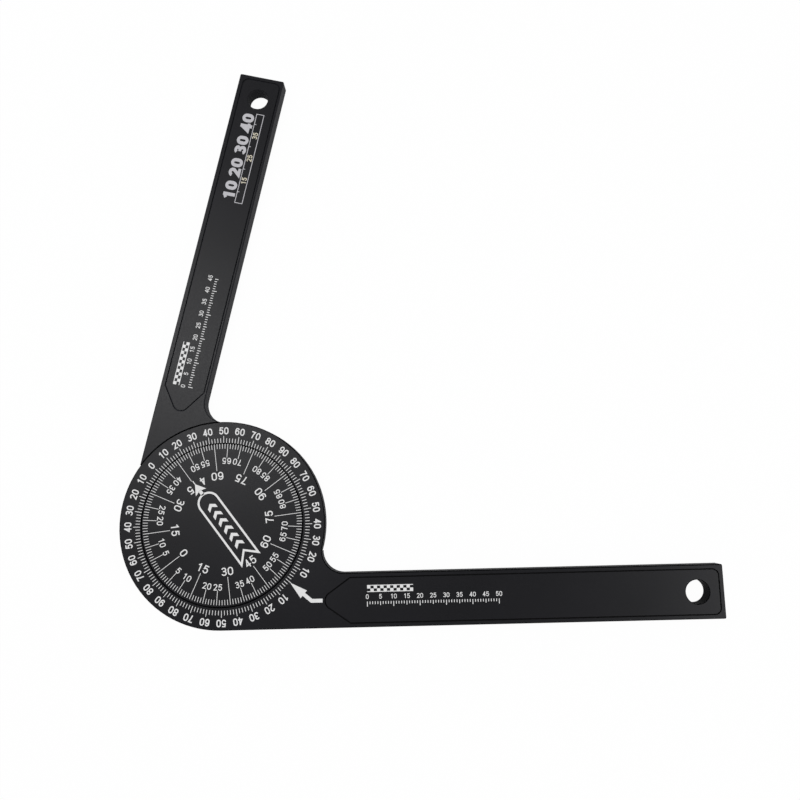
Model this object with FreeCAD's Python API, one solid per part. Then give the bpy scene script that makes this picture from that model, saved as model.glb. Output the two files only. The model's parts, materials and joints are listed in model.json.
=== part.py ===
import FreeCAD, Part
import os
from math import atan2, cos, pi, radians, sin, sqrt, tan

# An angle finder with two arms, lying on its back. The pivot axis is Z, the underside is at z = 0
# and the base arm runs along +X. The heads of the two arms are half lapped: the swing arm's head is
# a plate below, the base arm's head is a ring above it, and the inner dial is screwed to the plate
# through the ring. All lengths are in millimetres and all angles in degrees.

# Overall sizes
overall_length = 230.6
thickness = 6.4
head_radius = 39.7
rest_angle = 76.75
full_turn = 360.0

# Base arm
base_arm_width = 20.25
base_fillet_radius = 8.4
base_hole_radius = 4.5
base_hole_from_end = 10.1

# Swing arm
swing_reach = 183.2
swing_arm_width = 18.7
swing_set_back = 2.9
swing_fillet_radius = 7.4
swing_hole_radius = 4.2
swing_hole_from_end = 9.9
swing_inlay_shift = 0.4

# Edges that both arms share
arm_edge_chamfer = 0.35
arm_corner_radius = 0.6
hole_edge_chamfer = 0.25

# Half lap between the two heads
head_plate_thickness = 3.0
lap_gap = 0.25
slip_washer_thickness = 0.3
slip_washer_margin = 1.5

# Ring of the base arm and the inner dial in it
ring_width = 8.35
seam_gap = 0.35
seam_chamfer = 0.1
ledge_width = 5.35
ledge_thickness = 1.2
bush_wall = 0.8
press_gap = 0.02
running_gap = 0.06

# Disc spring between the ring's ledge and the dial
spring_space = 0.5
spring_sheet = 0.3
spring_slack = 0.04
spring_margin = 0.7

# Countersunk screws from the back
screw_count = 4
screw_inset = 8.0
screw_radius = 1.5
screw_head_radius = 2.8
screw_head_rim = 0.2
screw_length = 5.0
screw_sink = 0.1
screw_gap = 0.02
screw_tip_room = 0.4
socket_flat_radius = 1.0
socket_depth = 1.2
socket_sides = 6

# Locating pins between the plate and the dial
pin_count = 2
pin_inset = 3.6
pin_radius = 1.0
pin_length = 3.2
pin_depth_in_plate = 1.8
pin_end_room = 0.2
pin_edge_chamfer = 0.15

# Inlaid plates on the arms
base_recess_inset = 1.45
swing_recess_inset = 1.2
recess_end_inset = 1.5
recess_groove = 0.5
plate_thickness = 0.5
film_thickness = 0.1
film_margin = 0.5
wedge_slope = 35.0
wedge_tip_radius = 3.0
plate_corner_radius = 2.2

# How far every cutting shape runs past what it cuts
overrun = 1.0

# Places worked out from the sizes above
base_reach = overall_length - head_radius
base_outer = head_radius
base_inner = base_outer - base_arm_width
swing_outer = head_radius - swing_set_back
swing_inner = swing_outer - swing_arm_width
base_middle = (base_outer + base_inner) / 2
swing_middle = (swing_outer + swing_inner) / 2 - swing_inlay_shift
base_plate_half = base_arm_width / 2 - base_recess_inset - recess_groove
swing_plate_half = swing_arm_width / 2 - swing_recess_inset - recess_groove
shoulder_radius = head_radius + lap_gap
ring_underside = head_plate_thickness + slip_washer_thickness
ledge_top = ring_underside + ledge_thickness
dial_underside = ledge_top + spring_space
ring_bore_radius = head_radius - ring_width
dial_radius = ring_bore_radius - seam_gap
ledge_radius = ring_bore_radius - ledge_width
bush_outer_radius = ledge_radius - press_gap
bush_inner_radius = ledge_radius - bush_wall
hub_radius = bush_inner_radius - running_gap
screw_circle_radius = hub_radius - screw_inset
pin_circle_radius = hub_radius - pin_inset
wedge_tip_reach = head_radius
recess_floor = thickness - plate_thickness - film_thickness
screw_tip = screw_sink + screw_length
pin_floor = head_plate_thickness - pin_depth_in_plate

up = FreeCAD.Vector(0, 0, 1)
origin = FreeCAD.Vector(0, 0, 0)


def point(x, y, z=0):
    return FreeCAD.Vector(x, y, z)


def on_circle(centre, radius, angle):
    return point(centre[0] + radius * cos(angle), centre[1] + radius * sin(angle))


# An arc about a centre, from one point to another, through the middle of the turn given in radians
def arc_between(start, turn, centre):
    radius = sqrt((start.x - centre[0]) ** 2 + (start.y - centre[1]) ** 2)
    angle = atan2(start.y - centre[1], start.x - centre[0])
    middle = on_circle(centre, radius, angle + turn / 2)
    end = on_circle(centre, radius, angle + turn)
    return Part.Arc(start, middle, end).toShape()


def line(start, end):
    return Part.LineSegment(start, end).toShape()


def disc(radius, bottom, top):
    return Part.makeCylinder(radius, top - bottom, point(0, 0, bottom))


def tube(outer_radius, inner_radius, bottom, top):
    hole = disc(inner_radius, bottom - overrun, top + overrun)
    return disc(outer_radius, bottom, top).cut(hole)


# The angle from one direction to another, going clockwise, as a negative number in radians
def clockwise_turn(start_angle, end_angle):
    turn = end_angle - start_angle
    return turn if turn < 0 else turn - 2 * pi


# Outline of a round head with an arm along +X, whose edges are at y = outer and y = inner
def arm_face(outer, inner, reach, fillet_radius):
    corner = arm_corner_radius
    head_start = point(sqrt(max(head_radius ** 2 - outer ** 2, 0)), outer)
    fillet_x = sqrt((head_radius + fillet_radius) ** 2 - (inner - fillet_radius) ** 2)
    fillet_centre = (fillet_x, inner - fillet_radius)
    fillet_angle = atan2(fillet_centre[1], fillet_centre[0])
    head_end = on_circle((0, 0), head_radius, fillet_angle)
    quarter = pi / 2
    outer_run = point(reach - corner, outer)
    outer_end = point(reach, outer - corner)
    inner_end = point(reach, inner + corner)
    inner_run = point(reach - corner, inner)
    fillet_start = point(fillet_x, inner)
    head_turn = clockwise_turn(fillet_angle, atan2(head_start.y, head_start.x))
    edges = [
        line(head_start, outer_run),
        arc_between(outer_run, -quarter, (reach - corner, outer - corner)),
        line(outer_end, inner_end),
        arc_between(inner_end, -quarter, (reach - corner, inner + corner)),
        line(inner_run, fillet_start),
        arc_between(fillet_start, quarter + fillet_angle, fillet_centre),
        arc_between(head_end, head_turn, (0, 0)),
    ]
    return Part.Face(Part.Wire(edges))


# A block of the full thickness, with its top and bottom edges broken
def arm_block(face):
    block = face.extrude(up * thickness)
    sharp = [edge for edge in block.Edges if edge.BoundBox.ZLength < arm_edge_chamfer]
    return block.makeChamfer(arm_edge_chamfer, sharp)


# Outline of an inlaid plate: a rounded wedge towards the dial and two rounded corners at the end
def plate_face(middle, half, reach):
    end = reach - recess_end_inset - recess_groove
    round_radius = plate_corner_radius
    quarter = pi / 2
    slope = radians(wedge_slope)
    tip_centre = (wedge_tip_reach + wedge_tip_radius, middle)
    tip_low = on_circle(tip_centre, wedge_tip_radius, -quarter - slope)
    tip_high = on_circle(tip_centre, wedge_tip_radius, quarter + slope)
    shoulder_x = tip_low.x + (half - middle + tip_low.y) / tan(slope)
    low_shoulder = point(shoulder_x, middle - half)
    high_shoulder = point(shoulder_x, middle + half)
    low_run = point(end - round_radius, middle - half)
    high_end = point(end, middle + half - round_radius)
    edges = [
        arc_between(tip_high, 2 * (quarter - slope), tip_centre),
        line(tip_low, low_shoulder),
        line(low_shoulder, low_run),
        arc_between(low_run, quarter, (end - round_radius, middle - half + round_radius)),
        line(point(end, middle - half + round_radius), high_end),
        arc_between(high_end, quarter, (end - round_radius, middle + half - round_radius)),
        line(point(end - round_radius, middle + half), high_shoulder),
        line(high_shoulder, tip_high),
    ]
    return Part.Face(Part.Wire(edges))


# A through hole with both of its rims broken
def hole_cutter(radius, x, y):
    shaft = Part.makeCylinder(radius, thickness + 2 * overrun, point(x, y, -overrun))
    flare = hole_edge_chamfer + overrun
    wide = radius + flare
    lower = Part.makeCone(wide, radius, flare, point(x, y, -overrun))
    upper = Part.makeCone(radius, wide, flare, point(x, y, thickness - hole_edge_chamfer))
    return shaft.fuse([lower, upper])


def recess_cutter(face):
    grown = face.makeOffset2D(recess_groove, join=2)
    grown.translate(point(0, 0, recess_floor))
    return grown.extrude(up * (plate_thickness + film_thickness + overrun))


def inlaid_plate(face, hole):
    raised = face.copy()
    raised.translate(point(0, 0, recess_floor + film_thickness))
    return raised.extrude(up * plate_thickness).cut(hole)


# The adhesive film stays a little inside the plate's edge and clear of its hole
def film_under(face, radius, x, y):
    smaller = face.makeOffset2D(-film_margin)
    smaller.translate(point(0, 0, recess_floor))
    clear = Part.makeCylinder(radius + film_margin, thickness + overrun, point(x, y, 0))
    return smaller.extrude(up * film_thickness).cut(clear)


# The base arm is modelled on the +Y side like the swing arm, then mirrored to the -Y side
def mirrored(shape):
    return shape.mirror(origin, FreeCAD.Vector(0, 1, 0))


base_hole_x = base_reach - base_hole_from_end
base_hole_y = base_middle
swing_hole_x = swing_reach - swing_hole_from_end
swing_hole_y = swing_middle


def make_base_arm():
    body = arm_block(arm_face(base_outer, base_inner, base_reach, base_fillet_radius))
    ring_bore = disc(ring_bore_radius, ledge_top, thickness + overrun)
    bore_rim = Part.makeCone(ring_bore_radius, ring_bore_radius + seam_chamfer + overrun,
                             seam_chamfer + overrun, point(0, 0, thickness - seam_chamfer))
    ledge_bore = disc(ledge_radius, -overrun, thickness)
    lap = disc(shoulder_radius, -overrun, ring_underside)
    recess = recess_cutter(plate_face(base_middle, base_plate_half, base_reach))
    hole = hole_cutter(base_hole_radius, base_hole_x, base_hole_y)
    return mirrored(body.cut([lap, ledge_bore, ring_bore, bore_rim, recess, hole]))


def make_base_plate():
    face = plate_face(base_middle, base_plate_half, base_reach)
    return mirrored(inlaid_plate(face, hole_cutter(base_hole_radius, base_hole_x, base_hole_y)))


def make_base_film():
    face = plate_face(base_middle, base_plate_half, base_reach)
    return mirrored(film_under(face, base_hole_radius, base_hole_x, base_hole_y))


def around(shape, count, index):
    copy = shape.copy()
    copy.rotate(origin, up, full_turn * index / count)
    return copy


# Countersunk hole through the head plate: the head's cone, then the shank's clearance
def screw_hole():
    wide = screw_head_radius + screw_sink + overrun
    cone = Part.makeCone(wide, 0, wide, point(screw_circle_radius, 0, screw_head_rim - overrun))
    shank = Part.makeCylinder(screw_radius + screw_gap, thickness, point(screw_circle_radius, 0, 0))
    rim = Part.makeCylinder(screw_head_radius + screw_sink, screw_sink + screw_head_rim + overrun,
                            point(screw_circle_radius, 0, -overrun))
    return cone.fuse([shank, rim])


def make_swing_arm():
    body = arm_block(arm_face(swing_outer, swing_inner, swing_reach, swing_fillet_radius))
    lap = disc(shoulder_radius, head_plate_thickness, thickness + overrun)
    recess = recess_cutter(plate_face(swing_middle, swing_plate_half, swing_reach))
    hole = hole_cutter(swing_hole_radius, swing_hole_x, swing_hole_y)
    body = body.cut([lap, recess, hole])
    screws = [around(screw_hole(), screw_count, i + 1 / 2) for i in range(screw_count)]
    pin_hole = Part.makeCylinder(pin_radius + press_gap, pin_depth_in_plate + overrun,
                                 point(pin_circle_radius, 0, pin_floor - pin_end_room))
    pins = [around(pin_hole, pin_count, i) for i in range(pin_count)]
    return body.cut(screws + pins)


def make_swing_plate():
    face = plate_face(swing_middle, swing_plate_half, swing_reach)
    return inlaid_plate(face, hole_cutter(swing_hole_radius, swing_hole_x, swing_hole_y))


def make_swing_film():
    face = plate_face(swing_middle, swing_plate_half, swing_reach)
    return film_under(face, swing_hole_radius, swing_hole_x, swing_hole_y)


# The dial is a flange flush with the ring's top, on a hub that stands on the head plate
def make_inner_dial():
    flange = disc(dial_radius, dial_underside, thickness)
    rim = [edge for edge in flange.Edges if edge.BoundBox.ZMin > dial_underside]
    flange = flange.makeChamfer(seam_chamfer, rim)
    hub = disc(hub_radius, head_plate_thickness, dial_underside)
    body = flange.fuse(hub).removeSplitter()
    tapped = Part.makeCylinder(screw_radius + screw_gap, screw_tip + screw_tip_room,
                               point(screw_circle_radius, 0, 0))
    screws = [around(tapped, screw_count, i + 1 / 2) for i in range(screw_count)]
    pin_top = pin_floor + pin_length + pin_end_room
    pin_hole = Part.makeCylinder(pin_radius + press_gap, pin_top, point(pin_circle_radius, 0, 0))
    pins = [around(pin_hole, pin_count, i) for i in range(pin_count)]
    return body.cut(screws + pins)


def make_pivot_bush():
    return tube(bush_outer_radius, bush_inner_radius, ring_underside, ledge_top)


def make_slip_washer():
    return tube(head_radius - slip_washer_margin, ledge_radius + spring_margin,
                head_plate_thickness, ring_underside)


# A conical disc spring that rests on the ledge with its outer edge and lifts the dial's flange
def make_disc_spring():
    inside = ledge_radius + spring_margin
    outside = ring_bore_radius - spring_margin
    top = dial_underside - spring_slack
    outline = [point(outside, 0, ledge_top), point(outside, 0, ledge_top + spring_sheet),
               point(inside, 0, top), point(inside, 0, top - spring_sheet)]
    face = Part.Face(Part.makePolygon(outline + outline[:1]))
    return face.revolve(origin, up, full_turn)


def hex_prism(flat_radius, depth, x, bottom):
    corner_radius = flat_radius / cos(pi / socket_sides)
    corners = [on_circle((x, 0), corner_radius, 2 * pi * i / socket_sides) for i in range(socket_sides)]
    face = Part.Face(Part.makePolygon(corners + corners[:1]))
    face.translate(point(0, 0, bottom))
    return face.extrude(up * depth)


def make_one_screw():
    rim_top = screw_sink + screw_head_rim
    cone_top = rim_top + screw_head_radius - screw_radius
    outline = [point(0, 0, screw_sink), point(screw_head_radius, 0, screw_sink),
               point(screw_head_radius, 0, rim_top), point(screw_radius, 0, cone_top),
               point(screw_radius, 0, screw_tip - screw_radius / 2),
               point(screw_radius / 2, 0, screw_tip), point(0, 0, screw_tip)]
    face = Part.Face(Part.makePolygon(outline + outline[:1]))
    screw = face.revolve(origin, up, full_turn)
    screw.translate(point(screw_circle_radius, 0, 0))
    socket = hex_prism(socket_flat_radius, socket_depth + screw_sink, screw_circle_radius, 0)
    return screw.cut(socket)


def make_dial_screws():
    return Part.makeCompound([around(make_one_screw(), screw_count, i + 1 / 2)
                              for i in range(screw_count)])


def make_dial_pins():
    pin = Part.makeCylinder(pin_radius, pin_length, point(pin_circle_radius, 0, pin_floor))
    rims = [edge for edge in pin.Edges if edge.BoundBox.ZLength < pin_edge_chamfer]
    pin = pin.makeChamfer(pin_edge_chamfer, rims)
    return Part.makeCompound([around(pin, pin_count, i) for i in range(pin_count)])


# What turns with the swing arm is modelled along +X, then turned to the resting angle
def at_rest(shape):
    shape.rotate(origin, up, rest_angle)
    return shape


base_side = {
    "base_arm": make_base_arm,
    "base_plate": make_base_plate,
    "base_plate_film": make_base_film,
    "pivot_bush": make_pivot_bush,
    "disc_spring": make_disc_spring,
}

swing_side = {
    "swing_arm": make_swing_arm,
    "swing_plate": make_swing_plate,
    "swing_plate_film": make_swing_film,
    "slip_washer": make_slip_washer,
    "inner_dial": make_inner_dial,
    "dial_screws": make_dial_screws,
    "dial_pins": make_dial_pins,
}

os.makedirs("parts", exist_ok=True)
for name, make in base_side.items():
    make().exportStep("parts/" + name + ".step")
for name, make in swing_side.items():
    at_rest(make()).exportStep("parts/" + name + ".step")
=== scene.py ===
import bpy
import json
import math
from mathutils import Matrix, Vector


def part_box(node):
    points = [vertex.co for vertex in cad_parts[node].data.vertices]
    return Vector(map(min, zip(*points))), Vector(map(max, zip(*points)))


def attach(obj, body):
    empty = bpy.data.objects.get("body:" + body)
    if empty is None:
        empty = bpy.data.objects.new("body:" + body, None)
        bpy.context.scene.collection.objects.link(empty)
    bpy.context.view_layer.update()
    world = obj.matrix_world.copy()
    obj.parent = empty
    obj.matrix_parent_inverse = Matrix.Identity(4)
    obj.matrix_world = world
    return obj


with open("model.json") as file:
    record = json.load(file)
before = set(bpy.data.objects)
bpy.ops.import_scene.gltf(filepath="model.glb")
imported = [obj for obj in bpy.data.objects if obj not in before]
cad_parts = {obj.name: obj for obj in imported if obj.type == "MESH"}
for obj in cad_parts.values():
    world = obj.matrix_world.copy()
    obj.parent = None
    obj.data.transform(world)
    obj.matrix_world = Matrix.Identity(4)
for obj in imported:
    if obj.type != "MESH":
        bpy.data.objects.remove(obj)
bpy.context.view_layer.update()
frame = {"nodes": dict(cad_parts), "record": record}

mm = 0.001
degree = math.pi / 180
fullTurn = 2 * math.pi
quarterTurn = math.pi / 2
samePlace = 0.01 * mm    # corners nearer than this are taken as one

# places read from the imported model
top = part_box("base_arm")[1].z
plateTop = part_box("base_plate")[1].z
mounts = {mount["name"]: mount for mount in frame["record"]["mounts"]}
swingOut = mounts["swing_outer_edge"]["axis"]
swingTurn = math.atan2(swingOut[1], swingOut[0]) - quarterTurn
print("frame loaded")

# printed marks stand a little above the metal
ink = {"thickness": 0.03 * mm, "sunk": 0.01 * mm}


def onCircle(radius, angle):
    return radius * math.cos(angle), radius * math.sin(angle)


def deselectAll():
    bpy.ops.object.select_all(action="DESELECT")


def pick(*pieces):
    deselectAll()
    for piece in pieces:
        piece.select_set(True)
    bpy.context.view_layer.objects.active = pieces[0]


def editAll(piece):
    pick(piece)
    bpy.ops.object.mode_set(mode="EDIT")
    bpy.ops.mesh.select_all(action="SELECT")


def leaveEdit():
    bpy.ops.object.mode_set(mode="OBJECT")


def bakePlace(piece):
    pick(piece)
    bpy.ops.object.transform_apply(location=True, rotation=True, scale=True)
    return piece


def joinAll(pieces, name):
    pick(*pieces)
    if len(pieces) > 1:
        bpy.ops.object.join()
    joined = bpy.context.view_layer.objects.active
    joined.name = name
    joined.data.name = name
    return joined


def applyModifier(piece, kind, **settings):
    pick(piece)
    modifier = piece.modifiers.new(kind.title(), kind)
    for setting, value in settings.items():
        setattr(modifier, setting, value)
    bpy.ops.object.modifier_apply(modifier=modifier.name)
    return piece


def copyAlong(piece, count, pitch):
    return applyModifier(piece, "ARRAY", count=count, use_relative_offset=False,
                         use_constant_offset=True, constant_offset_displace=(pitch, 0, 0))


# selects by place and stays in edit mode
def selectVerts(piece, test):
    leaveEdit()
    for polygon in piece.data.polygons:
        polygon.select = False
    for edge in piece.data.edges:
        edge.select = False
    for vert in piece.data.vertices:
        vert.select = test(vert.co)
    bpy.ops.object.mode_set(mode="EDIT")
    bpy.ops.mesh.select_mode(type="VERT")


def addPatch(x, y, length, width, turn=0.0):
    deselectAll()
    bpy.ops.mesh.primitive_plane_add(size=1, location=(x, y, 0), rotation=(0, 0, turn))
    patch = bpy.context.object
    patch.scale = (length, width, 1)
    return bakePlace(patch)


def addTick(fromRadius, toRadius, width, angle):
    x, y = onCircle((fromRadius + toRadius) / 2, angle)
    return addPatch(x, y, abs(toRadius - fromRadius), width, angle)


def addOutline(shape, line):
    editAll(shape)
    bpy.ops.mesh.inset(thickness=line, depth=0)
    bpy.ops.mesh.delete(type="FACE")
    leaveEdit()
    return shape


def addTriangle(tip, base, halfWidth, notch=0.0):
    wedge = addPatch((tip + base) / 2, 0, abs(tip - base), 2 * halfWidth)
    if notch:
        selectVerts(wedge, lambda co: abs(co.x - base) < samePlace)
        bpy.ops.mesh.subdivide(number_cuts=1)
        selectVerts(wedge, lambda co: abs(co.x - base) < samePlace and abs(co.y) < samePlace)
        bpy.ops.transform.translate(value=(notch, 0, 0))
    selectVerts(wedge, lambda co: abs(co.x - tip) < samePlace)
    bpy.ops.mesh.merge(type="CENTER")
    leaveEdit()
    return wedge


def spinAround(piece, copies):
    editAll(piece)
    turn = fullTurn * (copies - 1) / copies
    bpy.ops.mesh.spin(steps=copies - 1, dupli=True, angle=turn, center=(0, 0, 0), axis=(0, 0, 1))
    leaveEdit()
    return piece


def turnPiece(piece, turn, shift=(0, 0)):
    piece.rotation_euler = (0, 0, turn)
    piece.location = (shift[0], shift[1], 0)
    return bakePlace(piece)


def thicken(piece):
    applyModifier(piece, "SOLIDIFY", thickness=ink["thickness"], offset=1)
    editAll(piece)
    bpy.ops.mesh.normals_make_consistent(inside=False)
    leaveEdit()
    return piece


def printOn(piece, height, body, material):
    piece.location.z = height - ink["sunk"]
    bakePlace(piece)
    piece.data.materials.clear()
    piece.data.materials.append(material)
    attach(piece, body)


# numerals of one even line, each one high about its own middle
digitShape = {
    "tall": 0.5,              # from the middle to the top
    "halfWidth": 0.32,
    "crown": 0.27,            # height of the round ends of 0, 6 and 9
    "waist": (0.07, 0.035),   # where the bowls of 3 and 8 meet
    "upperBowl": 0.225,       # middles of those bowls
    "lowerBowl": -0.185,
    "upperNarrower": 0.02,
    "flagFrom": 0.40,         # where the slanting strokes of 1 and 4 start
    "oneStem": 0.07,
    "oneFlag": (-0.19, 0.22),
    "twoBowl": 0.215,
    "twoHeel": 0.055,
    "threeTongue": -0.1,
    "fourStem": 0.125,
    "fourBar": -0.2,
    "fourBarEnds": (-0.21, 0.33),
    "fiveBarEnds": (-0.15, 0.27),
    "fiveNeck": (-0.19, 0.05),
    "fiveBowl": -0.145,
    "sixBowl": -0.15,
    "sixJoin": -0.03,
    "sevenBarEnds": (-0.3, 0.20),
    "sevenKnee": (0.02, 0.02),
    "sevenFoot": -0.07,
    "bendStep": 20,           # degrees from one point of a bend to the next
    "seed": 0.01,
    "weld": 0.004,
    "mergeWithin": 0.0001,
}


# points along part of an oval, from one angle to another in degrees
def bend(x, y, radiusX, radiusY, start, end):
    steps = max(2, round(abs(end - start) / digitShape["bendStep"]))
    angles = [(start + (end - start) * step / steps) * degree for step in range(steps + 1)]
    return [(x + radiusX * math.cos(angle), y + radiusY * math.sin(angle)) for angle in angles]


# the strokes of the ten numerals, each a row of points
def digitLines(weight):
    shape = digitShape
    tall, half, crown, flagFrom = shape["tall"], shape["halfWidth"], shape["crown"], shape["flagFrom"]
    side, high = half - weight / 2, tall - weight / 2
    waistX, waistY = shape["waist"]
    right, left = (waistX, waistY), (-waistX, waistY)
    upper = (0, shape["upperBowl"], side - shape["upperNarrower"], high - shape["upperBowl"])
    lower = (0, shape["lowerBowl"], side, high + shape["lowerBowl"])

    oval = bend(0, high - crown, side, crown, 0, 180) + bend(0, crown - high, side, crown, 180, 360)

    stem, flag = shape["oneStem"], (shape["oneStem"], flagFrom)
    one = [[(stem, -tall), flag, (stem, tall)], [flag, shape["oneFlag"]]]

    bowl = shape["twoBowl"]
    two = bend(0, high - bowl, side, bowl, 172, -30) + [(-side + shape["twoHeel"], -high), (half, -high)]

    tongue = [right, (shape["threeTongue"], waistY)]
    three = [[right] + bend(*upper, -40, 160), [right] + bend(*lower, 45, -162), tongue]

    post, bar = shape["fourStem"], shape["fourBar"]
    barLeft, barRight = shape["fourBarEnds"]
    four = [[(post, -tall), (post, bar), (post, flagFrom), (post, tall)],
            [(post, flagFrom), (barLeft, bar), (post, bar), (barRight, bar)]]

    barLeft, barRight = shape["fiveBarEnds"]
    bowl = shape["fiveBowl"]
    five = [(barRight, high), (barLeft, high), shape["fiveNeck"]] + bend(0, bowl, side, high + bowl, 90, -165)

    bowl, join = shape["sixBowl"], (-side, shape["sixJoin"])
    six = bend(0, high - crown, side, crown, 25, 180) + [join]
    six += bend(0, bowl, side, high + bowl, 180, 465) + [join]

    barLeft, barRight = shape["sevenBarEnds"]
    seven = [(barLeft, high), (barRight, high), shape["sevenKnee"], (shape["sevenFoot"], -tall)]

    eight = [[right] + bend(*upper, -40, 220) + [left],
             [left] + bend(*lower, 135, 405) + [right],
             [left, right]]
    nine = [(-x, -y) for x, y in six]
    return [[oval + oval[:1]], one, [two], three, four, [five], [six], [seven], eight, [nine]]


def drawLine(points):
    deselectAll()
    bpy.ops.mesh.primitive_plane_add(size=digitShape["seed"], location=(points[0][0], points[0][1], 0))
    line = bpy.context.object
    bpy.ops.object.mode_set(mode="EDIT")
    bpy.ops.mesh.select_mode(type="VERT")
    bpy.ops.mesh.select_all(action="SELECT")
    bpy.ops.mesh.merge(type="CENTER")
    for here, there in zip(points, points[1:]):
        step = (there[0] - here[0], there[1] - here[1], 0)
        bpy.ops.mesh.extrude_region_move(TRANSFORM_OT_translate={"value": step})
    leaveEdit()
    return bakePlace(line)


# the strokes are raised into upright ribbons, which then get their thickness
def makeDigits(weight):
    digits = []
    for lines in digitLines(weight):
        digit = joinAll([drawLine(points) for points in lines], "digit")
        editAll(digit)
        bpy.ops.mesh.remove_doubles(threshold=digitShape["weld"])
        bpy.ops.mesh.extrude_region_move(TRANSFORM_OT_translate={"value": (0, 0, 1)})
        leaveEdit()
        digits.append(applyModifier(digit, "SOLIDIFY", solidify_mode="NON_MANIFOLD", thickness=weight,
                                    offset=0, nonmanifold_thickness_mode="EVEN",
                                    nonmanifold_merge_threshold=digitShape["mergeWithin"]))
    return digits


# the same numerals in three weights of line, as a share of their height
penWeights = {"fine": 0.14, "plain": 0.16, "bold": 0.24}
digitSets = {pen: makeDigits(weight) for pen, weight in penWeights.items()}


def addNumber(number, style, x, y, turn):
    copies = []
    characters = str(number)
    for place, character in enumerate(characters):
        pick(digitSets[style["pen"]][int(character)])
        bpy.ops.object.duplicate(linked=False)
        copy = bpy.context.object
        copy.location.x = (place - (len(characters) - 1) / 2) * style["advance"]
        copy.scale = (style["height"] * style["widen"], style["height"], ink["thickness"])
        copies.append(bakePlace(copy))
    return turnPiece(joinAll(copies, "number"), turn, (x, y))


print("numerals drawn")


def newMaterial(name):
    material = bpy.data.materials.new(name)
    material.use_nodes = True
    nodes = material.node_tree.nodes
    return material, nodes, material.node_tree.links, nodes["Principled BSDF"]


def addNoise(nodes, links, scale, detail, place):
    noise = nodes.new("ShaderNodeTexNoise")
    noise.inputs["Scale"].default_value = scale
    noise.inputs["Detail"].default_value = detail
    links.new(place, noise.inputs["Vector"])
    return noise.outputs["Fac"]


# most of a noise lies between 0.3 and 0.7
def addSpread(nodes, links, source, low, high, fromLow=0.3, fromHigh=0.7):
    spread = nodes.new("ShaderNodeMapRange")
    spread.inputs["From Min"].default_value = fromLow
    spread.inputs["From Max"].default_value = fromHigh
    spread.inputs["To Min"].default_value = low
    spread.inputs["To Max"].default_value = high
    links.new(source, spread.inputs["Value"])
    return spread.outputs["Result"]


def addMix(nodes, links, share, first, second):
    mix = nodes.new("ShaderNodeMix")
    mix.data_type = "RGBA"
    links.new(share, mix.inputs["Factor"])
    for socket, colour in (("A", first), ("B", second)):
        inputSocket = [item for item in mix.inputs if item.name == socket and item.type == "RGBA"][0]
        if isinstance(colour, tuple):
            inputSocket.default_value = colour
        else:
            links.new(colour, inputSocket)
    return [item for item in mix.outputs if item.type == "RGBA"][0]


def addMath(nodes, links, operation, *values):
    result = nodes.new("ShaderNodeMath")
    result.operation = operation
    for index, value in enumerate(values):
        links.new(value, result.inputs[index])
    return result.outputs["Value"]


def addBump(nodes, links, source, strength, distance, shader):
    bump = nodes.new("ShaderNodeBump")
    bump.inputs["Strength"].default_value = strength
    bump.inputs["Distance"].default_value = distance
    links.new(source, bump.inputs["Height"])
    links.new(bump.outputs["Normal"], shader.inputs["Normal"])


def grey(level, warmth=0.0):
    return (level * (1 + warmth), level, level * (1 - warmth), 1)


def coolBlack(level, blue=1.4):
    return (level, level, level * blue, 1)


# blasted aluminium, dyed black; a noise is given as its scale and its detail
anodised = {
    "face": 0.0046,                 # grey of the flat faces
    "cloud": 0.0062,                # where the dye is a little thinner
    "fleck": 0.0150,                # fine grains of the metal
    "clouds": (38, 3),
    "grain": (5200, 2),
    "blast": (2600, 4),
    "fleckShare": 0.35,
    "fleckFrom": (0.55, 0.8),
    "edgeSlope": (0.75, 0.97),      # upright share of the normal, from a broken edge to a flat face
    "wallSlope": (0.2, 0.6),
    "floorSlope": (0.9, 0.97),
    "wallBlue": 1.1,
    "sheen": 0.30,
    "roughness": (0.37, 0.45),
    "edgeRoughness": 0.9,
    "bump": 0.22,
    "bumpDepth": 0.02 * mm,
    "grooveDepth": 0.35 * mm,
    "grooveFade": 0.05 * mm,
    "boreReach": (0.3 * mm, 0.8 * mm),
}

# what sets each dyed piece apart: shadow is how much of the light its broken edges swallow, and
# the greys for its sunk floors, milled sides and broken edges are painted light: the sides painted
# lighter than the faces, the floors and broken edges painted darker as shade on the base arm, dial
# and base plate and painted lighter on the swing arm and its plate
dyedPieces = {
    "base_arm": {"name": "armBlack", "shade": 1.0, "rougher": 0.0, "shadow": 1.0,
                 "groovePaintedLight": 0.0015, "wallPaintedLight": 0.0150, "edge": 0.0030, "hole": "base_hang_hole"},
    "swing_arm": {"name": "swingBlack", "shade": 1.0, "rougher": 0.0, "shadow": 0.05,
                  "groovePaintedLight": 0.016, "wallPaintedLight": 0.0235, "edge": 0.0075, "hole": "swing_hang_hole"},
    "inner_dial": {"name": "dialBlack", "shade": 1.05, "rougher": 0.0, "shadow": 0.6,
                   "groovePaintedLight": 0.0015, "wallPaintedLight": 0.0150, "edge": 0.0030},
    "base_plate": {"name": "basePlateBlack", "shade": 0.97, "rougher": 0.01, "shadow": 1.0,
                   "groovePaintedLight": 0.0015, "wallPaintedLight": 0.0150, "edge": 0.0030},
    "swing_plate": {"name": "swingPlateBlack", "shade": 1.0, "rougher": 0.01, "shadow": 0.05,
                    "groovePaintedLight": 0.016, "wallPaintedLight": 0.0150, "edge": 0.0050},
}


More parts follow.
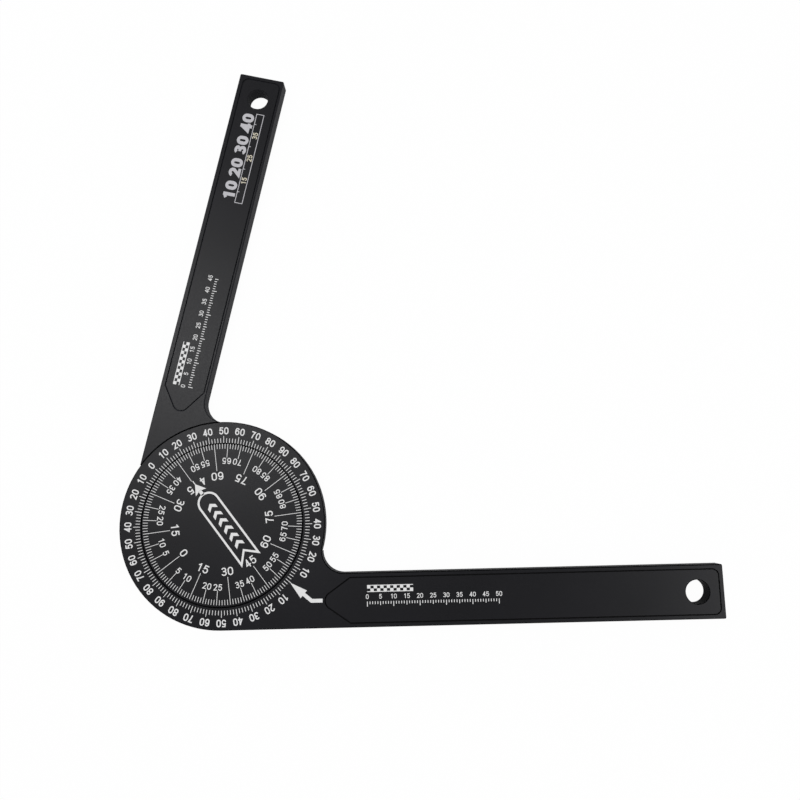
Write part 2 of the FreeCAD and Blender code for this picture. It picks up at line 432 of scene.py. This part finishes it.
# 0 inside the hanging hole of an arm, and 1 away from it, so that the painted light of the
# milled sides stays off the hole's wall
def addBoreMask(nodes, links, place, mount):
    flat = nodes.new("ShaderNodeVectorMath")
    flat.operation = "MULTIPLY"
    flat.inputs[1].default_value = (1, 1, 0)
    links.new(place, flat.inputs[0])
    away = nodes.new("ShaderNodeVectorMath")
    away.operation = "DISTANCE"
    away.inputs[1].default_value = (mount["pos_m"][0], mount["pos_m"][1], 0)
    links.new(flat.outputs["Vector"], away.inputs[0])
    radius = mount["dims"]["r_mm"] * mm
    near, far = anodised["boreReach"]
    return addSpread(nodes, links, away.outputs["Value"], 0, 1, radius + near, radius + far)


def makeAnodised(name, shade, rougher, shadow, groovePaintedLight, wallPaintedLight, edge, hole=None):
    material, nodes, links, shader = newMaterial(name)
    place = nodes.new("ShaderNodeTexCoord").outputs["Object"]
    clouds = addSpread(nodes, links, addNoise(nodes, links, *anodised["clouds"], place), 0, 1)
    grain = addNoise(nodes, links, *anodised["grain"], place)
    blast = addNoise(nodes, links, *anodised["blast"], place)
    normal = nodes.new("ShaderNodeSeparateXYZ")
    links.new(nodes.new("ShaderNodeNewGeometry").outputs["Normal"], normal.inputs["Vector"])
    height = nodes.new("ShaderNodeSeparateXYZ")
    links.new(place, height.inputs["Vector"])

    # broken edges, milled sides and the floors of the grooves, each 1 where it lies and 0 elsewhere
    steep = addMath(nodes, links, "ABSOLUTE", normal.outputs["Z"])
    edges = addSpread(nodes, links, steep, 1, 0, *anodised["edgeSlope"])
    walls = addSpread(nodes, links, steep, 1, 0, *anodised["wallSlope"])
    grooveTop = top - anodised["grooveDepth"]
    below = addSpread(nodes, links, height.outputs["Z"], 1, 0, grooveTop - anodised["grooveFade"], grooveTop)
    sides = addMath(nodes, links, "MULTIPLY", walls, below)
    if hole:
        sides = addMath(nodes, links, "MULTIPLY", sides, addBoreMask(nodes, links, place, mounts[hole]))
    level = addSpread(nodes, links, normal.outputs["Z"], 0, 1, *anodised["floorSlope"])
    floors = addMath(nodes, links, "MULTIPLY", below, level)

    face, cloud = coolBlack(anodised["face"] * shade), coolBlack(anodised["cloud"] * shade)
    flecks = addSpread(nodes, links, grain, 0, anodised["fleckShare"], *anodised["fleckFrom"])
    dyed = addMix(nodes, links, clouds, face, cloud)
    flecked = addMix(nodes, links, flecks, dyed, coolBlack(anodised["fleck"]))
    # broken edges: painted shade on the base arm, dial and base plate, painted highlight on the swing arm and
    # plate
    broken = addMix(nodes, links, edges, flecked, coolBlack(edge))
    # milled sides: painted light, lighter than the faces, kept off the walls of the hanging holes
    withPaintedWalls = addMix(nodes, links, sides, broken, coolBlack(wallPaintedLight, anodised["wallBlue"]))
    # groove floors: painted shade on the base arm, dial and base plate, painted light on the swing arm and
    # plate
    links.new(addMix(nodes, links, floors, withPaintedWalls, coolBlack(groovePaintedLight)), shader.inputs["Base Color"])

    low, high = anodised["roughness"]
    rough = nodes.new("ShaderNodeMix")
    rough.data_type = "FLOAT"
    links.new(addMath(nodes, links, "MAXIMUM", edges, floors), rough.inputs["Factor"])
    links.new(addSpread(nodes, links, blast, low + rougher, high + rougher), rough.inputs["A"])
    rough.inputs["B"].default_value = anodised["edgeRoughness"]
    links.new(rough.outputs["Result"], shader.inputs["Roughness"])
    deep = addMath(nodes, links, "SUBTRACT", edges, sides)
    links.new(addSpread(nodes, links, deep, 0, shadow, 0, 1), shader.inputs["Metallic"])
    shader.inputs["Specular IOR Level"].default_value = anodised["sheen"]
    addBump(nodes, links, blast, anodised["bump"], anodised["bumpDepth"], shader)
    return material


inkFinish = {
    "film": (900, 3),
    "grain": (4000, 2),
    "roughness": (0.45, 0.6),
    "sheen": 0.3,
    "bump": 0.2,
    "bumpDepth": 0.01 * mm,
}


def makeInk(name, colour, worn):
    material, nodes, links, shader = newMaterial(name)
    place = nodes.new("ShaderNodeTexCoord").outputs["Object"]
    film = addSpread(nodes, links, addNoise(nodes, links, *inkFinish["film"], place), 0, 1)
    grain = addNoise(nodes, links, *inkFinish["grain"], place)
    links.new(addMix(nodes, links, film, colour, worn), shader.inputs["Base Color"])
    links.new(addSpread(nodes, links, film, *inkFinish["roughness"], 0, 1), shader.inputs["Roughness"])
    shader.inputs["Specular IOR Level"].default_value = inkFinish["sheen"]
    addBump(nodes, links, grain, inkFinish["bump"], inkFinish["bumpDepth"], shader)
    return material


metalFinish = {"marks": (2200, 4), "bump": 0.15, "bumpDepth": 0.02 * mm}


def makeMetal(name, colour, worn, roughness, stretch=(1, 1, 1)):
    material, nodes, links, shader = newMaterial(name)
    mapping = nodes.new("ShaderNodeMapping")
    mapping.inputs["Scale"].default_value = stretch
    links.new(nodes.new("ShaderNodeTexCoord").outputs["Object"], mapping.inputs["Vector"])
    marks = addNoise(nodes, links, *metalFinish["marks"], mapping.outputs["Vector"])
    share = addSpread(nodes, links, marks, 0, 1)
    links.new(addMix(nodes, links, share, colour, worn), shader.inputs["Base Color"])
    links.new(addSpread(nodes, links, marks, *roughness), shader.inputs["Roughness"])
    shader.inputs["Metallic"].default_value = 1
    addBump(nodes, links, marks, metalFinish["bump"], metalFinish["bumpDepth"], shader)
    return material


plasticFinish = {
    "clouds": (160, 3),
    "gloss": (1500, 3),
    "grain": (2500, 3),
    "sheen": 0.4,
    "bump": 0.15,
    "bumpDepth": 0.02 * mm,
}


def makePlastic(name, colour, worn, roughness):
    material, nodes, links, shader = newMaterial(name)
    place = nodes.new("ShaderNodeTexCoord").outputs["Object"]
    clouds = addSpread(nodes, links, addNoise(nodes, links, *plasticFinish["clouds"], place), 0, 1)
    gloss = addNoise(nodes, links, *plasticFinish["gloss"], place)
    grain = addNoise(nodes, links, *plasticFinish["grain"], place)
    links.new(addMix(nodes, links, clouds, colour, worn), shader.inputs["Base Color"])
    links.new(addSpread(nodes, links, gloss, *roughness), shader.inputs["Roughness"])
    shader.inputs["Specular IOR Level"].default_value = plasticFinish["sheen"]
    addBump(nodes, links, grain, plasticFinish["bump"], plasticFinish["bumpDepth"], shader)
    return material


# finishes of the dyed pieces and of the parts inside
finishes = {node: makeAnodised(**tones) for node, tones in dyedPieces.items()}
finishes.update({
    "dial_screws": makeMetal("blackOxide", grey(0.03), grey(0.06), (0.3, 0.45)),
    "dial_pins": makeMetal("groundSteel", grey(0.5), grey(0.62), (0.18, 0.32), (1, 1, 12)),
    "disc_spring": makeMetal("springSteel", grey(0.38, 0.04), grey(0.5, 0.02), (0.25, 0.4)),
    "pivot_bush": makePlastic("naturalAcetal", grey(0.72, 0.01), grey(0.78, 0.01), (0.35, 0.5)),
    "slip_washer": makePlastic("naturalNylon", grey(0.66, 0.03), grey(0.74, 0.02), (0.4, 0.55)),
    "base_plate_film": makePlastic("baseFilm", grey(0.5, 0.01), grey(0.58, 0.01), (0.3, 0.4)),
    "swing_plate_film": makePlastic("swingFilm", grey(0.5, 0.01), grey(0.58, 0.01), (0.3, 0.4)),
})
for node, finish in finishes.items():
    for materialSlot in frame["nodes"][node].material_slots:
        materialSlot.material = finish

# each ink has its colour and the colour where it is thin
inkColours = {
    "whiteInk": (grey(0.75), grey(0.69)),
    "greyInk": ((0.50, 0.495, 0.52, 1), (0.45, 0.445, 0.47, 1)),
    "beigeInk": ((0.66, 0.61, 0.49, 1), (0.58, 0.54, 0.43, 1)),
}
inks = {name: makeInk(name, *colours) for name, colours in inkColours.items()}
print("metal and plastic finishes done")

# the outer scale, printed on the ring: it counts up to 90 and down again, twice round
ringScale = {
    "ticksFrom": 31.9 * mm,
    "shortTo": 33.62 * mm,
    "longTo": 34.5 * mm,
    "tickWidth": 0.22 * mm,
    "ticksToNumber": 5,
    "degreesToTick": 2,
    "numbersAt": 36.57 * mm,
    "numbersInQuarter": 9,
    "numbers": {"pen": "plain", "height": 2.8 * mm, "widen": 0.95, "advance": 2.0 * mm},
    "zeroAt": 140 * degree,
    "turn": -0.25 * degree,
    "shift": (0.25 * mm, -0.41 * mm),
}


def makeRingTicks():
    ticks = []
    for index in range(ringScale["ticksToNumber"]):
        end = ringScale["shortTo"] if index else ringScale["longTo"]
        angle = index * ringScale["degreesToTick"] * degree
        ticks.append(addTick(ringScale["ticksFrom"], end, ringScale["tickWidth"], angle))
    return thicken(spinAround(joinAll(ticks, "ringTicks"), 4 * ringScale["numbersInQuarter"]))


def makeRingNumbers():
    numbers = []
    quarter = ringScale["numbersInQuarter"]
    stepDegrees = ringScale["ticksToNumber"] * ringScale["degreesToTick"]
    for step in range(4 * quarter):
        if step == 2 * quarter:
            continue    # the arrow's place has no number
        angle = ringScale["zeroAt"] + step * stepDegrees * degree
        value = stepDegrees * (quarter - abs(quarter - step % (2 * quarter)))
        x, y = onCircle(ringScale["numbersAt"], angle)
        numbers.append(addNumber(value, ringScale["numbers"], x, y, angle - quarterTurn))
    return joinAll(numbers, "ringNumbers")


for marks in (makeRingTicks(), makeRingNumbers()):
    printOn(turnPiece(marks, ringScale["turn"], ringScale["shift"]), top, "base", inks["whiteInk"])
print("outer scale done")

# the arrow on the base arm that points at the ring, with a bent tail
baseArrow = {
    "angle": -40.7 * degree,
    "tip": 34.6 * mm,
    "base": 41.4 * mm,
    "halfWidth": 1.85 * mm,
    "tailWidth": 1.42 * mm,
    "bend": (34.36 * mm, -29.45 * mm),
    "tailEnd": 38.5 * mm,
    "cornerReach": 1.3,          # how far round the bend its corners lie, in half widths
    "endReach": 1.5 * mm,
}


def makeBaseArrow():
    angle, width, tailEnd = baseArrow["angle"], baseArrow["tailWidth"], baseArrow["tailEnd"]
    head = turnPiece(addTriangle(baseArrow["tip"], baseArrow["base"], baseArrow["halfWidth"]), angle)
    baseX, baseY = onCircle(baseArrow["base"], angle)
    bendX, bendY = baseArrow["bend"]
    bendPoint = Vector((bendX, bendY, 0))
    run, rise = bendX - baseX, bendY - baseY
    lean = math.atan2(rise, run)
    shaft = addPatch((baseX + bendX) / 2, (baseY + bendY) / 2, math.hypot(run, rise), width, lean)

    # the shaft's end is cut to a mitre, and the tail goes on from there and ends square
    half = width / 2
    mitre = half * math.tan(lean / 2)
    along = Vector((math.cos(lean), math.sin(lean), 0))
    across = Vector((-math.sin(lean), math.cos(lean), 0))
    for side in (1, -1):
        corner = bendPoint + side * half * across
        selectVerts(shaft, lambda co: (co - corner).length < samePlace)
        bpy.ops.transform.translate(value=side * mitre * along)
    selectVerts(shaft, lambda co: (co - bendPoint).length < half * baseArrow["cornerReach"])
    bpy.ops.mesh.extrude_region_move(TRANSFORM_OT_translate={"value": (tailEnd - bendX, 0, 0)})
    selectVerts(shaft, lambda co: co.x > tailEnd - baseArrow["endReach"])
    bpy.ops.transform.resize(value=(0, 1, 1), center_override=(tailEnd, bendY, 0))
    leaveEdit()
    return thicken(joinAll([head, shaft], "baseArrow"))


printOn(makeBaseArrow(), top, "base", inks["whiteInk"])

# the inner scale, printed on the dial and turning with it
dialScale = {
    "ticksFrom": 30.68 * mm,
    "unitTo": 28.76 * mm,
    "fiveTo": 25.35 * mm,
    "fifteenTo": 20.3 * mm,
    "tickWidth": 0.205 * mm,
    "fifteensRound": 12,
    "smallAt": 24.07 * mm,
    "smallNumbers": {"pen": "fine", "height": 2.4 * mm, "widen": 0.98, "advance": 1.85 * mm},
    "bigAt": 18.25 * mm,
    "bigNumbers": {"pen": "fine", "height": 3.1 * mm, "widen": 1.05, "advance": 2.5 * mm},
    "underNeedle": (45, -1),     # this number is parted by the needle and drawn with the pointer
    "zeroAt": 140 * degree,
    "unit": 2 * degree,
    "turn": -0.35 * degree,
    "shift": (0.40 * mm, -0.03 * mm),
}


def dialTickEnd(index):
    if index == 0:
        return dialScale["fifteenTo"]
    return dialScale["unitTo"] if index % 5 else dialScale["fiveTo"]


def makeDialTicks():
    ticks = []
    for index in range(15):
        angle = dialScale["zeroAt"] + index * dialScale["unit"]
        ticks.append(addTick(dialTickEnd(index), dialScale["ticksFrom"], dialScale["tickWidth"], angle))
    return thicken(spinAround(joinAll(ticks, "dialTicks"), dialScale["fifteensRound"]))


def makeDialNumbers(name, values, radius, style):
    numbers = []
    for value, side in values:
        angle = dialScale["zeroAt"] + side * value * dialScale["unit"]
        x, y = onCircle(radius, angle)
        numbers.append(addNumber(value, style, x, y, angle + quarterTurn))
    return joinAll(numbers, name)


def makeSmallNumbers():
    values = [(value, side) for value in range(5, 90, 5) if value % 15 for side in (1, -1)]
    return makeDialNumbers("dialSmallNumbers", values, dialScale["smallAt"], dialScale["smallNumbers"])


def makeBigNumbers():
    values = [(0, 1), (90, 1)] + [(value, side) for value in range(15, 90, 15) for side in (1, -1)]
    values.remove(dialScale["underNeedle"])
    return makeDialNumbers("dialBigNumbers", values, dialScale["bigAt"], dialScale["bigNumbers"])


def placeOnDial(piece, turn, shift):
    turnPiece(piece, turn, shift)
    turnPiece(piece, swingTurn)
    printOn(piece, top, "swing", inks["whiteInk"])


for marks in (makeDialTicks(), makeSmallNumbers(), makeBigNumbers()):
    placeOnDial(marks, dialScale["turn"], dialScale["shift"])
print("inner scale done")

# the pointer in the middle of the dial, drawn along +X and then turned to the needle
pointer = {
    "angle": 50 * degree,
    "shift": (0.65 * mm, -0.55 * mm),
    "needleWidth": 0.36 * mm,
    "overlap": 0.1 * mm,
    "headTip": 18.9 * mm,
    "headBase": 14.9 * mm,
    "headHalf": 2.5 * mm,
    "headNotch": 0.8 * mm,
    "neckTo": 13.6 * mm,
    "neckWidth": 1.3 * mm,
    "bandFar": 14.07 * mm,
    "bandHalf": 4.4 * mm,
    "bandTail": -18.0 * mm,
    "roundShare": 0.995,         # the round end's radius, in half widths
    "roundSegments": 9,
    "notch": 4.45 * mm,
    "line": 0.78 * mm,
    "digitAt": 18.0 * mm,
    "digitsAside": {4: -3.3 * mm, 5: 2.7 * mm},
    "chevrons": 6,
    "chevronFrom": -10.4 * mm,
    "chevronPitch": 3.5 * mm,
    "chevronHalf": 1.8 * mm,
    "chevronWidth": 1.5 * mm,
    "chevronLean": 0.8,          # how far its middle leads, in half heights
}


def makeBand():
    far, tail, half = pointer["bandFar"], pointer["bandTail"], pointer["bandHalf"]
    band = addPatch((far + tail) / 2, 0, far - tail, 2 * half)
    roundness = half * pointer["roundShare"]
    selectVerts(band, lambda co: co.x > 0)
    bpy.ops.mesh.bevel(affect="VERTICES", offset=roundness, segments=pointer["roundSegments"])
    selectVerts(band, lambda co: co.x < tail + samePlace)
    bpy.ops.mesh.subdivide(number_cuts=1)
    selectVerts(band, lambda co: co.x < tail + samePlace and abs(co.y) < samePlace)
    bpy.ops.transform.translate(value=(pointer["notch"], 0, 0))
    leaveEdit()
    return joinAll([addOutline(band, pointer["line"])], "pointerBand")


def makeChevrons():
    half = pointer["chevronHalf"]
    chevron = addPatch(pointer["chevronFrom"], 0, pointer["chevronWidth"], 2 * half)
    editAll(chevron)
    bpy.ops.mesh.subdivide(number_cuts=1)
    selectVerts(chevron, lambda co: abs(co.y) < samePlace)
    bpy.ops.transform.translate(value=(half * pointer["chevronLean"], 0, 0))
    leaveEdit()
    return joinAll([copyAlong(chevron, pointer["chevrons"], pointer["chevronPitch"])], "pointerChevrons")


def makePointerHead():
    tip, base, overlap = pointer["headTip"], pointer["headBase"], pointer["overlap"]
    head = addTriangle(tip, base, pointer["headHalf"], pointer["headNotch"])
    needleFrom, needleTo = tip - overlap, dialScale["fifteenTo"] + overlap
    needle = addPatch((needleFrom + needleTo) / 2, 0, needleTo - needleFrom, pointer["needleWidth"])
    neckFrom, neckTo = pointer["neckTo"], base + pointer["headNotch"]
    neck = addPatch((neckFrom + neckTo) / 2, 0, neckTo - neckFrom, pointer["neckWidth"])
    return joinAll([head, needle, neck], "pointerHead")


def makePointerDigits():
    digits = [addNumber(value, dialScale["bigNumbers"], pointer["digitAt"], aside, quarterTurn)
              for value, aside in pointer["digitsAside"].items()]
    return joinAll(digits, "pointerDigits")


pointerMarks = [thicken(makePointerHead()), makePointerDigits(), thicken(makeBand()), thicken(makeChevrons())]
for marks in pointerMarks:
    placeOnDial(marks, pointer["angle"], pointer["shift"])
print("pointer done")

# a short millimetre rule on each arm, printed on its plate, with a chequered bar beside it
rules = {
    "base": {"from": 55.5 * mm, "length": 50, "barTop": -24.1 * mm, "numbersAt": -28.4 * mm,
             "ticksTop": -30.2 * mm},
    "swing": {"from": 49.3 * mm, "length": 45, "barTop": 32.1 * mm, "numbersAt": 27.95 * mm,
              "ticksTop": 25.9 * mm},
    "barHeight": 2.6 * mm,
    "cell": 1.25 * mm,
    "cellPairs": 7,
    "barLine": 0.28 * mm,
    "numbers": {"pen": "fine", "height": 1.75 * mm, "widen": 0.98, "advance": 1.3 * mm},
    "millimetre": 1.0 * mm,
    "five": 1.4 * mm,
    "ten": 1.85 * mm,
    "lineWidth": 0.28 * mm,
}


# two rows of cells, each row with every other cell filled and the rest closed by a line
def makeRuleBar(start, barTop):
    cell, height, line = rules["cell"], rules["barHeight"], rules["barLine"]
    bars = []
    for row, edge in ((0, barTop - line / 2), (1, barTop - height + line / 2)):
        filled = addPatch(start + cell * (row + 0.5), barTop - height * (row + 0.5) / 2, cell, height / 2)
        rim = addPatch(start + cell * (1.5 - row), edge, cell, line)
        bars += [copyAlong(patch, rules["cellPairs"], 2 * cell) for patch in (filled, rim)]
    return joinAll(bars, "bar")


def ruleTickHeight(value):
    if value % 10 == 0:
        return rules["ten"]
    return rules["millimetre"] if value % 5 else rules["five"]


def makeRule(name):
    rule = rules[name]
    start, ticksTop = rule["from"], rule["ticksTop"]
    bar = makeRuleBar(start, rule["barTop"])
    ticks = []
    numbers = []
    for value in range(rule["length"] + 1):
        x, height = start + value * mm, ruleTickHeight(value)
        ticks.append(addPatch(x, ticksTop - height / 2, rules["lineWidth"], height))
        if value % 5 == 0:
            numbers.append(addNumber(value, rules["numbers"], x, rule["numbersAt"], 0))
    flat = thicken(joinAll([bar] + ticks, "flat"))
    return joinAll([flat] + numbers, name + "Rule")


printOn(makeRule("base"), plateTop, "base", inks["whiteInk"])
printOn(turnPiece(makeRule("swing"), swingTurn), plateTop, "swing", inks["whiteInk"])

# bold numbers and a thin frame near the end of the swing arm
endMarks = {
    "from": 127.3 * mm,
    "to": 166.9 * mm,
    "frameTop": 26.0 * mm,
    "frameBottom": 22.65 * mm,
    "line": 0.28 * mm,
    "tick": 0.7 * mm,
    "firstAt": 132.2 * mm,
    "pitch": 10 * mm,
    "values": (10, 20, 30, 40),
    "between": 5,
    "boldAt": 28.95 * mm,
    "boldNumbers": {"pen": "bold", "height": 4.9 * mm, "widen": 1.22, "advance": 4.3 * mm},
    "smallNumbers": {"pen": "plain", "height": 2.1 * mm, "widen": 1.0, "advance": 1.6 * mm},
}


# places along the arm of the bold numbers, or later than them by a share of their pitch
def endPlaces(later=0):
    first, pitch = endMarks["firstAt"], endMarks["pitch"]
    return [first + (index + later) * pitch for index in range(len(endMarks["values"]))]


def makeEndNumbers():
    numbers = [addNumber(value, endMarks["boldNumbers"], x, endMarks["boldAt"], 0)
               for value, x in zip(endMarks["values"], endPlaces())]
    return joinAll(numbers, "endNumbers")


def makeEndFrame():
    left, bottom, line, tick = endMarks["from"], endMarks["frameBottom"], endMarks["line"], endMarks["tick"]
    length, height = endMarks["to"] - left, endMarks["frameTop"] - bottom
    shape = addPatch(left + length / 2, bottom + height / 2, length, height)
    tickAt = endMarks["frameTop"] - line - tick / 2
    ticks = [addPatch(x, tickAt, line, tick) for x in endPlaces()]
    return thicken(joinAll([addOutline(shape, line)] + ticks, "endFrame"))


def makeFrameNumbers():
    middle = (endMarks["frameTop"] + endMarks["frameBottom"]) / 2
    numbers = [addNumber(value + endMarks["between"], endMarks["smallNumbers"], x, middle, 0)
               for value, x in list(zip(endMarks["values"], endPlaces(0.5)))[:-1]]
    return joinAll(numbers, "frameNumbers")


endPrints = ((makeEndNumbers(), "greyInk"), (makeEndFrame(), "greyInk"), (makeFrameNumbers(), "beigeInk"))
for marks, inkName in endPrints:
    printOn(turnPiece(marks, swingTurn), plateTop, "swing", inks[inkName])
for digits in digitSets.values():
    pick(*digits)
    bpy.ops.object.delete()
print("arm marks done")

# the floor, the studio and the camera; angles in degrees
studio = {
    "floorSize": 6.0,
    "floorDrop": 0.02 * mm,
    "floorGrey": 0.85,
    "floorRoughness": 0.9,
    "floorGlow": 0.97,
    "ceiling": 0.10,
    "ceilingFrom": (0.35, 0.8),
    "roomLight": 0.64,
    "lamps": {
        "softbox": {"place": (-0.210, 0.190, 0.62), "aim": (0, 0.06, 0), "size": (0.10, 0.36),
                    "power": 1.30},
        "endLight": {"place": (0.664, -0.114, 0.62), "aim": (0.17, -0.03, 0), "size": (0.08, 0.10),
                     "power": 1.65},
    },
    "cameraPlace": (0.0707286, 0.0076075, 0.2906925),
    "cameraTurn": (7.80759, 0.38876, -1.38627),
    "clipStart": 0.01,
    "lens": 32.809,
    "sensor": 36.0,
}


# 1 where the background is seen, straight or in a reflection, and 0 where it lights something
def showsBackground(nodes, links):
    path = nodes.new("ShaderNodeLightPath")
    seen = path.outputs["Is Camera Ray"]
    for ray in ("Is Glossy Ray", "Is Transmission Ray"):
        seen = addMath(nodes, links, "MAXIMUM", seen, path.outputs[ray])
    return seen


def makeFloor():
    deselectAll()
    bpy.ops.mesh.primitive_plane_add(size=studio["floorSize"], location=(0, 0, -studio["floorDrop"]))
    floor = bakePlace(bpy.context.object)
    floor.name = "floor"
    material, nodes, links, shader = newMaterial("paleFloor")
    shader.inputs["Base Color"].default_value = grey(studio["floorGrey"])
    shader.inputs["Roughness"].default_value = studio["floorRoughness"]
    shader.inputs["Specular IOR Level"].default_value = 0.0
    glow = nodes.new("ShaderNodeEmission")
    glow.inputs["Color"].default_value = grey(1.0)
    glowShare = nodes.new("ShaderNodeMath")
    glowShare.operation = "MULTIPLY"
    glowShare.inputs[1].default_value = studio["floorGlow"]
    links.new(showsBackground(nodes, links), glowShare.inputs[0])
    blend = nodes.new("ShaderNodeMixShader")
    links.new(glowShare.outputs["Value"], blend.inputs["Fac"])
    links.new(shader.outputs["BSDF"], blend.inputs[1])
    links.new(glow.outputs["Emission"], blend.inputs[2])
    links.new(blend.outputs["Shader"], nodes["Material Output"].inputs["Surface"])
    floor.data.materials.append(material)


# pale walls and a darker ceiling, which the metal reflects
def makeRoom():
    world = bpy.data.worlds.new("studioRoom")
    bpy.context.scene.world = world
    world.use_nodes = True
    nodes, links = world.node_tree.nodes, world.node_tree.links
    background = nodes["Background"]
    split = nodes.new("ShaderNodeSeparateXYZ")
    links.new(nodes.new("ShaderNodeTexCoord").outputs["Generated"], split.inputs["Vector"])
    walls = addSpread(nodes, links, split.outputs["Z"], 1.0, studio["ceiling"], *studio["ceilingFrom"])
    room = nodes.new("ShaderNodeMix")
    room.data_type = "FLOAT"
    links.new(showsBackground(nodes, links), room.inputs["Factor"])
    room.inputs["A"].default_value = studio["roomLight"]
    links.new(walls, room.inputs["B"])
    links.new(room.outputs["Result"], background.inputs["Strength"])
    background.inputs["Color"].default_value = grey(1.0)


def addLamp(name, settings):
    deselectAll()
    bpy.ops.object.light_add(type="AREA", location=settings["place"])
    lamp = bpy.context.object
    lamp.name = name
    lamp.data.shape = "RECTANGLE"
    lamp.data.size, lamp.data.size_y = settings["size"]
    lamp.data.energy = settings["power"]
    beam = Vector(settings["aim"]) - Vector(settings["place"])
    lamp.rotation_euler = beam.to_track_quat("-Z", "Y").to_euler()


def addCamera():
    deselectAll()
    turn = [angle * degree for angle in studio["cameraTurn"]]
    bpy.ops.object.camera_add(location=studio["cameraPlace"], rotation=turn)
    camera = bpy.context.object
    camera.data.sensor_width = studio["sensor"]
    camera.data.lens = studio["lens"]
    camera.data.clip_start = studio["clipStart"]
    bpy.context.scene.camera = camera


makeFloor()
makeRoom()
for lampName, lampSettings in studio["lamps"].items():
    addLamp(lampName, lampSettings)
addCamera()
bpy.context.scene.view_settings.view_transform = "Standard"
print("studio done")
